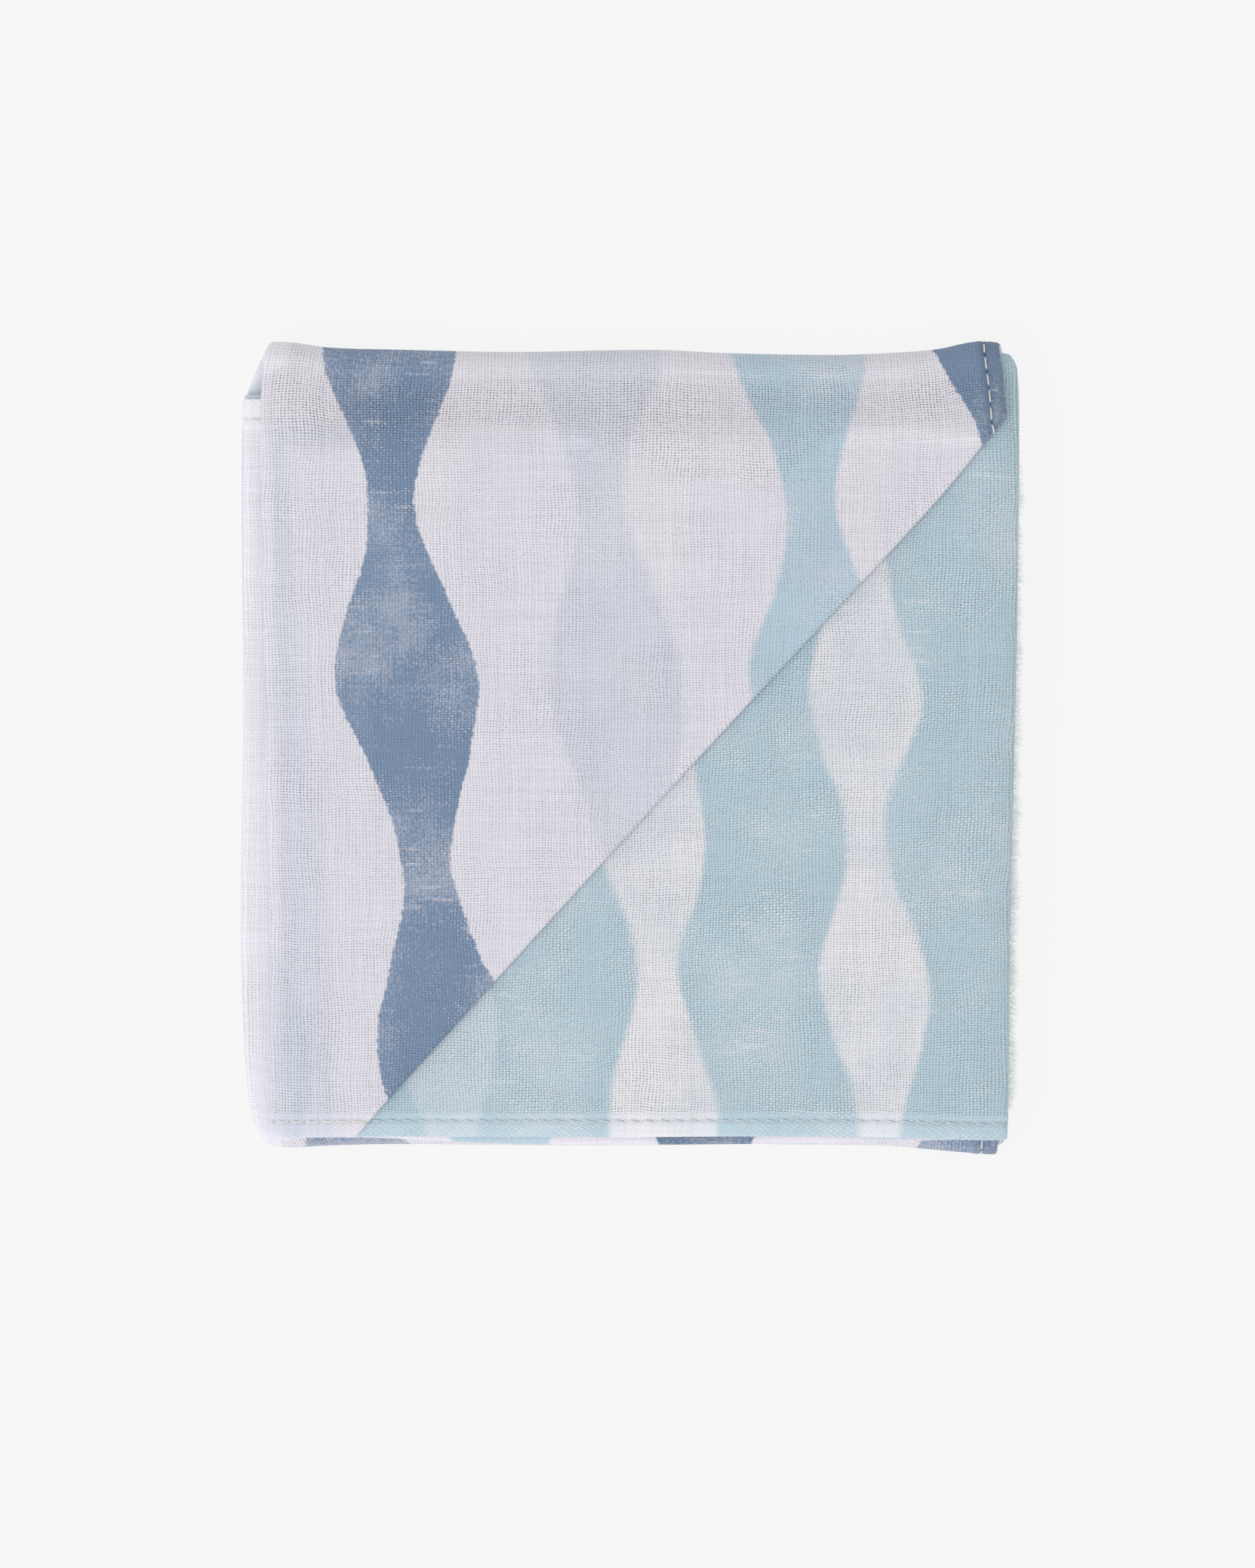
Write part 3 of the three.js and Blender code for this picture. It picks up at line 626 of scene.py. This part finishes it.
def gauze_material(name, front, sizes, colours):
    """Double gauze: two plain weaves of bleached cotton, tied to each other and printed with dye paste. The
    threads stand 0.52 mm apart across and 0.39 mm along with open pinholes between them, so the cloth is
    matt and sheer. Painted shade darkens its holes, most where nothing lies close behind, and painted
    highlights lighten its knuckles. The dye sits on the upper threads in uneven blotches, with paler
    knuckles and specks that it missed."""
    material, surface, add, link = new_material(name)
    flat = add("UVMap", uv_map="flat_cloth")
    cloth = add("VectorMath", flat, CLOTH_SIDE, operation="SCALE")
    pinhole, knuckle = weave_nodes(add, cloth, sizes)
    in_hem, groove, needle_hole = hem_nodes(add, cloth, sizes)

    # The stencil's edge wanders by a millimetre, and the dye creeps a little way along the threads.
    place = wandered(add, wandered(add, cloth, 0.05, 3.2), 1.1, 0.7)
    pattern = FRONT_PRINT if front else REVERSE_PRINT
    inside, number = print_nodes(add, place, pattern)
    faint = add("Math", number, pattern["faint_number"], 0.1, operation="COMPARE")
    kept = add("Math", faint, pattern["faint_share"] - 1, 1.0, operation="MULTIPLY_ADD")

    # Threads are spun unevenly, so thicker and paler ones run as faint streaks both ways.
    streaks = []
    for drawn_out in ((1.9, 0.05, 1.0), (0.045, 2.5, 1.0), (0.11, 0.9, 1.0)):
        drawn = add("VectorMath", cloth, drawn_out, operation="MULTIPLY")
        streaks.append(add("TexNoise", drawn, 1.0, 1.0, 0.5, noise_dimensions="2D"))
    slub = add("Math", *streaks[:2], operation="ADD")

    # Broad blotches, patches where more is missed, short creases that kept the dye off a few threads, wear
    # at the back fold, and painted highlight and shade at the folds
    blotch, patch, speck = (add("TexNoise", cloth, *grain, noise_dimensions="2D")
                            for grain in ((0.06, 5.0, 0.62), (0.1, 2.0, 0.5), (1.9, 2.0, 0.7)))
    least_missed, most_missed = (0.05, 0.24) if front else (0.2, 0.45)
    missing = add("MapRange", patch, 0.47, 0.68, least_missed, most_missed)
    missed = add("Math", missing, knuckle, operation="MULTIPLY")
    creased = add("MapRange", streaks[2], 0.68, 0.8, 0.0, 0.26)
    handled_and_lit, backing_light_and_shade, below = (add("Attribute", attribute_name=name).node.outputs["Fac"]
                               for name in ("wear_and_painted_light", "backing_light_and_shade", "aqua_below"))
    worn_and_lit = add("Math", handled_and_lit, add("Math", creased, missed, operation="ADD"), operation="ADD")
    strength = add("MapRange", blotch, 0.3, 0.7, 0.7, 1.2)
    strength = add("Math", strength, add("MapRange", speck, 0.3, 0.7, 1.2, 0.83), operation="MULTIPLY")
    strength = add("Math", strength, add("MapRange", slub, 0.6, 1.4, 0.87, 1.13), operation="MULTIPLY")
    dye = add("Math", strength, worn_and_lit, operation="SUBTRACT")

    # On the front, dark blue has the sharpest edge and lavender grey the softest.
    if front:
        kind = add("Math", number, 3.0, operation="FLOORED_MODULO")
        dark = add("Math", kind, 0.0, 0.1, operation="COMPARE")
        aqua = add("Math", kind, 1.0, 0.1, operation="COMPARE")
        softness = add("Math", aqua, -0.35, add("Math", dark, -0.72, 0.95, operation="MULTIPLY_ADD"),
                       operation="MULTIPLY_ADD")
        share = add("MapRange", add("Math", inside, softness, operation="DIVIDE"), -1.0, 1.0, 0.0, 1.0,
                    interpolation_type="SMOOTHSTEP")
        band = add("Mix", aqua, colours.lavender, colours.aqua, data_type="RGBA")
        band = add("Mix", dark, band, colours.dark_blue, data_type="RGBA")
        share = add("Math", add("Math", share, dye, operation="MULTIPLY"), kept, operation="MULTIPLY")
        colour = add("Mix", share, colours.front_ground, band, data_type="RGBA")
        painted_hem_light = add("Math", add("Math", dark, share, operation="MULTIPLY"), -0.22, 0.11,
                        operation="MULTIPLY_ADD")
    else:
        bare = add("MapRange", inside, -0.8, 0.8, 0.0, 0.94, interpolation_type="SMOOTHSTEP")
        smeared = add("Math", add("MapRange", blotch, 0.34, 0.61, 0.6, 1.05), kept, operation="MULTIPLY")
        share = add("Math", add("Math", bare, smeared, operation="MULTIPLY"), -1.0, 1.0,
                    operation="MULTIPLY_ADD")
        share = add("Math", share, dye, operation="MULTIPLY")
        colour = add("Mix", share, colours.reverse_band, colours.reverse_ground, data_type="RGBA")
        painted_hem_light = 0.14

    # The layers below show through the sheer cloth.
    tint = add("Math", below, 0.36, operation="MULTIPLY")
    colour = add("Mix", tint, colour, linear("#B7C3D6"), data_type="RGBA")

    # In the hem, three layers close the holes, and their threads cross as fine slanted lines. It is painted
    # lighter than the rest, partly for its fuller layers and partly as a painted highlight for the light it
    # catches, but not where it is dark blue, because the dye went through its layers.
    slanted = add("VectorMath", cloth, (0.45 / sizes.warp_spacing, 1 / sizes.weft_spacing, 0),
                  operation="DOT_PRODUCT").node.outputs["Value"]
    lines = add("Math", add("Math", slanted, 2 * np.pi, operation="MULTIPLY"), operation="COSINE")
    lines = add("MapRange", lines, -0.3, 1.0, 0.0, 0.55)
    weave = add("Mix", in_hem, pinhole, lines)
    # Painted shade in the pinholes, darkest where nothing backs the cloth, and a painted highlight on the
    # knuckles
    unbacked_darkness = 0.58 if front else 0.66
    hole_shade = add("Math", backing_light_and_shade, -0.26, unbacked_darkness, operation="MULTIPLY_ADD")
    hole_shade = add("Math", add("MapRange", patch, 0.35, 0.65, -0.06, 0.1), hole_shade, operation="ADD")
    shade = add("Math", add("Math", weave, hole_shade, operation="MULTIPLY"), -1.0, 1.0,
                operation="MULTIPLY_ADD")
    shade = add("Math", shade, add("MapRange", knuckle, 0.0, 1.0, 0.98, 1.07), operation="MULTIPLY")
    # Painted shade in the needle holes, deeper in the dye, and in the stitching's groove; painted light in
    # the hem and where many layers lie close on the left
    darker_in_dye = 0.24 if front else 0.0
    needle_hole_shade = add("Math", share, darker_in_dye, 0.14, operation="MULTIPLY_ADD")
    sunk = add("Math", needle_hole, needle_hole_shade, add("Math", groove, 0.1, operation="MULTIPLY"),
               operation="MULTIPLY_ADD")
    painted_stack_light = add("MapRange", backing_light_and_shade, 1.0, 1.6, 1.0, 1.09)
    painted_light_gain = add("Math", in_hem, painted_hem_light, painted_stack_light, operation="MULTIPLY_ADD")
    shade = add("Math", shade, add("Math", painted_light_gain, sunk, operation="SUBTRACT"), operation="MULTIPLY")

    shade = add("Math", shade, add("MapRange", slub, 0.6, 1.4, 0.94, 1.05), operation="MULTIPLY")
    grey = add("CombineXYZ", shade, shade, shade)
    link(add("Mix", 1.0, colour, grey, data_type="RGBA", blend_type="MULTIPLY"),
         surface.inputs["Base Color"])

    # The threads' relief: knuckles stand up, and the holes and the stitching's groove lie deeper.
    relief = add("Math", knuckle, add("Math", weave, sunk, operation="ADD"), operation="SUBTRACT")
    link(add("Bump", 0.3, 0.00012, 1.0, relief), surface.inputs["Normal"])
    link(add("MapRange", pinhole, 0.0, 1.0, 0.86, 0.96), surface.inputs["Roughness"])
    surface.inputs["Specular IOR Level"].default_value = 0.2
    surface.inputs["Sheen Weight"].default_value = 0.12
    surface.inputs["Sheen Roughness"].default_value = 0.6
    return material


def thread_material(colours):
    """Spun cotton sewing thread, two plies twisted together. The twist shows as slanted lines of painted
    shade along each stitch. Where it was printed over with the cloth, it has taken the aqua."""
    material, surface, add, link = new_material("spun_cotton_sewing_thread")
    along, around = add("SeparateXYZ", add("UVMap", uv_map="thread_length")).node.outputs[:2]
    wound = add("Math", along, 18.0, operation="MULTIPLY")
    twist = add("Math", around, 2 * np.pi, wound, operation="MULTIPLY_ADD")
    twist_shade = add("MapRange", add("Math", twist, operation="SINE"), -1.0, 1.0, 0.86, 1.0)
    printed = add("Attribute", attribute_name="printed").node.outputs["Fac"]
    colour = add("Mix", printed, colours.thread, colours.reverse_ground, data_type="RGBA")
    grey = add("CombineXYZ", twist_shade, twist_shade, twist_shade)
    link(add("Mix", 1.0, colour, grey, data_type="RGBA", blend_type="MULTIPLY"),
         surface.inputs["Base Color"])
    surface.inputs["Roughness"].default_value = 0.75
    surface.inputs["Sheen Weight"].default_value = 0.2
    return material


def paper_material(colours):
    """Matt white paper, lit from below as on a light table. It glows evenly, with faint shadows, and its
    fibres leave it very slightly mottled."""
    material, surface, add, link = new_material("backlit_matt_white_paper")
    glow = 0.93
    fibres = add("TexNoise", add("TexCoord").node.outputs["Object"], 400.0, 2.0, 0.5)
    lit = [(1 - glow) * c for c in colours.floor[:3]] + [1.0]
    darker = [0.97 * c for c in lit[:3]] + [1.0]
    link(add("Mix", fibres, darker, lit, data_type="RGBA"), surface.inputs["Base Color"])
    surface.inputs["Emission Color"].default_value = colours.floor
    surface.inputs["Emission Strength"].default_value = glow
    surface.inputs["Roughness"].default_value = 1.0
    surface.inputs["Specular IOR Level"].default_value = 0.0
    return material


def lint_material():
    """Loose cotton fibres, brushed up from the cloth in handling: white, matt and a little sheer, paler
    towards their ends. A faint glow stands in for the light that passes through them."""
    material, surface, add, link = new_material("loose_cotton_fibre")
    along = add("SeparateXYZ", add("UVMap", uv_map="thread_length")).node.outputs[0]
    colour = add("Mix", along, linear("#DCE5E7"), linear("#F4F5F4"), data_type="RGBA")
    link(colour, surface.inputs["Base Color"])
    link(colour, surface.inputs["Emission Color"])
    surface.inputs["Emission Strength"].default_value = 0.12
    surface.inputs["Roughness"].default_value = 0.9
    surface.inputs["Specular IOR Level"].default_value = 0.1
    return material


def new_object(name, vertices, faces):
    mesh = bpy.data.meshes.new(name)
    mesh.from_pydata(to_model(vertices).tolist(), [], faces)
    made = bpy.data.objects.new(name, mesh)
    bpy.context.scene.collection.objects.link(made)
    mesh.shade_smooth()
    return made


def set_corner_map(mesh, name, places):
    """Gives a mesh a UV map from one place for each of its vertices."""
    corners = np.zeros(len(mesh.loops), np.int32)
    mesh.loops.foreach_get("vertex_index", corners)
    mesh.uv_layers.new(name=name).uv.foreach_set("vector", places[corners].astype(np.float32).ravel())


def set_point_values(mesh, name, values):
    mesh.attributes.new(name, "FLOAT", "POINT").data.foreach_set("value", values.astype(np.float32))


def stitch_pitch(sizes):
    """The length of one stitch that divides the stitching's side evenly."""
    side = CLOTH_SIDE - 2 * sizes.stitch_inset
    return side / round(side / sizes.stitch_length)


def tube(lines, radii, directions, sides):
    """Closed tubes along many lines of equally many points. Gives their vertices and faces."""
    count, steps = lines.shape[:2]
    turns = 2 * np.pi * np.arange(sides) / sides
    ahead = np.gradient(lines, axis=1)
    beside = np.cross(ahead, directions)
    beside /= np.linalg.norm(beside, axis=-1, keepdims=True)
    above = np.cross(beside, ahead)
    above /= np.linalg.norm(above, axis=-1, keepdims=True)
    around = np.cos(turns)[:, None] * above[:, :, None] + np.sin(turns)[:, None] * beside[:, :, None]
    vertices = lines[:, :, None] + radii[..., None, None] * around
    neighbours = [(i, (i + 1) % sides) for i in range(sides)]
    faces = []
    for first in range(0, count * steps * sides, steps * sides):
        last = first + (steps - 1) * sides
        for start in range(first, last, sides):
            faces += [(start + a, start + b, start + b + sides, start + a + sides) for a, b in neighbours]
        faces.append([first + i for i in reversed(range(sides))])
        faces.append([last + i for i in range(sides)])
    return vertices.reshape(-1, 3), faces


def new_threads(name, lines, radii, directions, sides, lengths, material):
    """Many tubes as one piece, with a map of the length along each and the turn round it."""
    made = new_object(name, *tube(lines, radii, directions, sides))
    mesh = made.data
    along = np.tile(np.repeat(lengths, sides), len(lines))
    around = np.tile(np.arange(sides) / sides, lines.shape[0] * lines.shape[1])
    set_corner_map(mesh, "thread_length", np.stack([along, around], -1))
    mesh.materials.append(material)
    shell = bmesh.new()
    shell.from_mesh(mesh)
    bmesh.ops.recalc_face_normals(shell, faces=shell.faces)
    shell.to_mesh(mesh)
    shell.free()
    return made


class CLOTH_OT_add_handkerchief(bpy.types.Operator):
    """Adds the folded cloth with its printed front and reverse"""

    bl_idname = "cloth.add_handkerchief"
    bl_label = "Folded handkerchief"

    def execute(self, context):
        sizes = in_millimetres(context.scene.cloth_sizes)
        colours = context.scene.cloth_colours
        points, faces = flat_cloth()
        across, along = points.T
        middle = folded(across, along)
        offset = front_normal(across, along) * half_thickness(across, along, sizes)[:, None]
        count = len(points)
        vertices = np.concatenate([middle + offset, middle - offset])
        all_faces = faces + [[count + i for i in reversed(face)] for face in faces]
        low, high = vertices.min(0), vertices.max(0)
        to_model.origin = np.array([(low[0] + high[0]) / 2, (low[1] + high[1]) / 2, low[2]])

        cloth = new_object("handkerchief_cloth", vertices, all_faces)
        mesh = cloth.data
        mesh.materials.append(gauze_material("printed_double_gauze_front", True, sizes, colours))
        mesh.materials.append(gauze_material("printed_double_gauze_reverse", False, sizes, colours))
        sides = np.repeat([0, 1], len(faces)).astype(np.int32)
        mesh.polygons.foreach_set("material_index", sides)
        set_corner_map(mesh, "flat_cloth", np.concatenate([points, points]) / CLOTH_SIDE)
        shown = [shown_through(points, 1), shown_through(points, -1)]
        set_point_values(mesh, "backing_light_and_shade", np.concatenate([side[0] for side in shown]))
        set_point_values(mesh, "aqua_below", np.concatenate([side[1] for side in shown]))
        set_point_values(mesh, "wear_and_painted_light", np.tile(wear_and_painted_light(across, along), 2))

        # The two faces meet along the cloth's edge.
        sheet = bmesh.new()
        sheet.from_mesh(mesh)
        bmesh.ops.remove_doubles(sheet, verts=sheet.verts, dist=1e-7)
        sheet.to_mesh(mesh)
        sheet.free()

        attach(cloth, "root")
        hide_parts("handkerchief")
        return {"FINISHED"}


class CLOTH_OT_add_hem_stitches(bpy.types.Operator):
    """Adds the lockstitch round the hem, on both faces of the cloth"""

    bl_idname = "cloth.add_hem_stitches"
    bl_label = "Hem stitches"

    def execute(self, context):
        sizes = in_millimetres(context.scene.cloth_sizes)
        inset = sizes.stitch_inset
        pitch = stitch_pitch(sizes)
        starts = inset + pitch * np.arange(round((CLOTH_SIDE - 2 * inset) / pitch))

        # One stitch, as shares of its length, with its height over the hem. It leaves a gap at each end,
        # and on the reverse it slants. There it was printed with the cloth.
        gap = 0.13
        slanting = 0.26
        aqua_share = 0.6
        share = np.array([0.0, 0.1, 0.28, 0.5, 0.72, 0.9, 1.0])
        lift = np.array([-0.3, -0.02, 0.09, 0.12, 0.09, -0.02, -0.3])
        run = (starts[:, None] + pitch * (gap + (1 - 2 * gap) * share)).ravel()
        slant = np.tile(slanting * (share - 0.5), len(starts))
        lines, normals, printed = [], [], []
        for side in (1, -1):
            line_in = inset + slant * (side < 0)
            for across, along in ((run, line_in), (CLOTH_SIDE - line_in, run),
                                  (CLOTH_SIDE - run, CLOTH_SIDE - line_in), (line_in, CLOTH_SIDE - run)):
                normal = front_normal(across, along)
                height = side * (half_thickness(across, along, sizes) + np.tile(lift, len(starts)))
                lines.append(folded(across, along) + normal * height[:, None])
                normals.append(normal)
            printed += [aqua_share * (side < 0)] * 4
        lines = np.concatenate(lines).reshape(-1, len(share), 3)
        normals = np.concatenate(normals).reshape(lines.shape)
        radii = np.full(lines.shape[:2], sizes.thread_radius)
        stitches = new_threads("hem_stitches", lines, radii, normals, 6, share * pitch,
                               thread_material(context.scene.cloth_colours))
        mesh = stitches.data
        set_point_values(mesh, "printed", np.repeat(printed, len(mesh.vertices) // len(printed)))
        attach(stitches, "root")
        return {"FINISHED"}


class CLOTH_OT_add_fold_lint(bpy.types.Operator):
    """Adds the loose fibres that stand out from the lower layers' right-hand folds"""

    bl_idname = "cloth.add_fold_lint"
    bl_label = "Lint at the folds"

    def execute(self, context):
        sizes = in_millimetres(context.scene.cloth_sizes)
        draw = np.random.default_rng(7)
        count = 3600
        fibre_radius = 0.027
        taper = 0.6
        fold = LOW_PANEL + PLEAT_ARC * draw.uniform(0.25, 0.75, count)
        lower = draw.uniform(0, 1, count) < 0.5
        along = np.where(lower, draw.uniform(BASE_LENGTH_START + 10, FRONT_ARC_START - 3, count),
                         draw.uniform(INNER_LENGTH_START + 3, CLOTH_SIDE - 4, count))
        below = half_thickness(fold, along, sizes)[:, None]
        root = folded(fold, along) - front_normal(fold, along) * below
        # The fibres' reach rises and falls along the folds, in soft tufts.
        tufts = 0.84 + 0.16 * np.sin(root[:, 1] / 1.3) * np.sin(root[:, 1] / 3.7 + 1)
        reach = sizes.lint_length * draw.uniform(0.6, 1.0, count) * tufts
        lean = draw.normal(0, 0.5, count)
        curl = draw.normal(0, 0.9, count)
        lift = draw.uniform(-0.1, 0.4, count)
        share = np.linspace(0, 1, 5)
        turned = lean[:, None] + curl[:, None] * share
        step = np.stack([np.cos(turned), np.sin(turned), lift[:, None] * (1 - share)], -1)
        path = np.cumsum(step, 1) - step[:, :1]
        lines = root[:, None] + path * (reach / len(share))[:, None, None]
        radii = fibre_radius * np.ones((count, 1)) * (1 - taper * share)
        upwards = np.broadcast_to([0.0, 0.0, 1.0], lines.shape)
        lint = new_threads("fold_lint", lines, radii, upwards, 3, share, lint_material())
        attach(lint, "root")

        return {"FINISHED"}


class CLOTH_OT_add_stage(bpy.types.Operator):
    """Adds the floor, the soft light and the camera straight above"""

    bl_idname = "cloth.add_stage"
    bl_label = "Stage"

    def execute(self, context):
        scene = context.scene
        scene.view_settings.view_transform = "Standard"
        bpy.ops.object.select_all(action="DESELECT")
        # The floor lies just below the underside's stitches.
        bpy.ops.mesh.primitive_plane_add(size=40, location=(0, 0, -0.0002))
        floor = context.active_object
        floor.name = "floor"
        bpy.ops.object.transform_apply(location=True)
        floor.data.materials.append(paper_material(scene.cloth_colours))

        world = bpy.data.worlds.new("studio")
        world.use_nodes = True
        world.node_tree.nodes["Background"].inputs["Color"].default_value = (1, 1, 1, 1)
        world.node_tree.nodes["Background"].inputs["Strength"].default_value = 0.79
        scene.world = world

        # A window on the left in front, along the diagonal fold, and a weaker light low in front, which the
        # front hems face
        for name, place, size, energy in (("window", (-0.85, -0.75, 1.3), 1.1, 9.0),
                                          ("front_reflector", (-0.4, -1.2, 0.5), 0.8, 1.3)):
            bpy.ops.object.light_add(type="AREA", location=place)
            light = context.active_object
            light.name = name
            light.data.shape = "DISK"
            light.data.size = size
            light.data.energy = energy
            light.rotation_mode = "QUATERNION"
            light.rotation_quaternion = light.location.to_track_quat("Z", "Y")

        # The lens is long, because the photo shows nothing of the pile's sides.
        frame_height = PHOTO_HEIGHT * MM_PER_PIXEL * MM
        bpy.ops.object.camera_add(location=(0, 0, 0))
        camera = context.active_object
        camera.name = "overhead_camera"
        camera.data.lens = 300
        camera.data.sensor_width = 36
        distance = frame_height * camera.data.lens / camera.data.sensor_width
        aim = to_model(np.array(PHOTO_MIDDLE))
        camera.location = (aim[0], aim[1], aim[2] + distance)
        camera.data.clip_end = 20
        scene.camera = camera
        return {"FINISHED"}


class CLOTH_PT_handkerchief(bpy.types.Panel):
    bl_label = "Handkerchief"
    bl_space_type = "VIEW_3D"
    bl_region_type = "UI"
    bl_category = "Handkerchief"

    def draw(self, context):
        for operator in OPERATORS:
            self.layout.operator(operator.bl_idname)
        for group in (context.scene.cloth_sizes, context.scene.cloth_colours):
            for name in group.__annotations__:
                self.layout.prop(group, name)


OPERATORS = (CLOTH_OT_add_handkerchief, CLOTH_OT_add_hem_stitches, CLOTH_OT_add_fold_lint,
             CLOTH_OT_add_stage)
CLASSES = (CLOTH_PG_sizes, CLOTH_PG_colours, *OPERATORS, CLOTH_PT_handkerchief)


def register():
    for item in CLASSES:
        bpy.utils.register_class(item)
    bpy.types.Scene.cloth_sizes = bpy.props.PointerProperty(type=CLOTH_PG_sizes)
    bpy.types.Scene.cloth_colours = bpy.props.PointerProperty(type=CLOTH_PG_colours)


def unregister():
    del bpy.types.Scene.cloth_colours
    del bpy.types.Scene.cloth_sizes
    for item in reversed(CLASSES):
        bpy.utils.unregister_class(item)


def main():
    register()
    bpy.ops.cloth.add_handkerchief()
    bpy.ops.cloth.add_hem_stitches()
    bpy.ops.cloth.add_fold_lint()
    bpy.ops.cloth.add_stage()


if __name__ == "__main__":
    main()
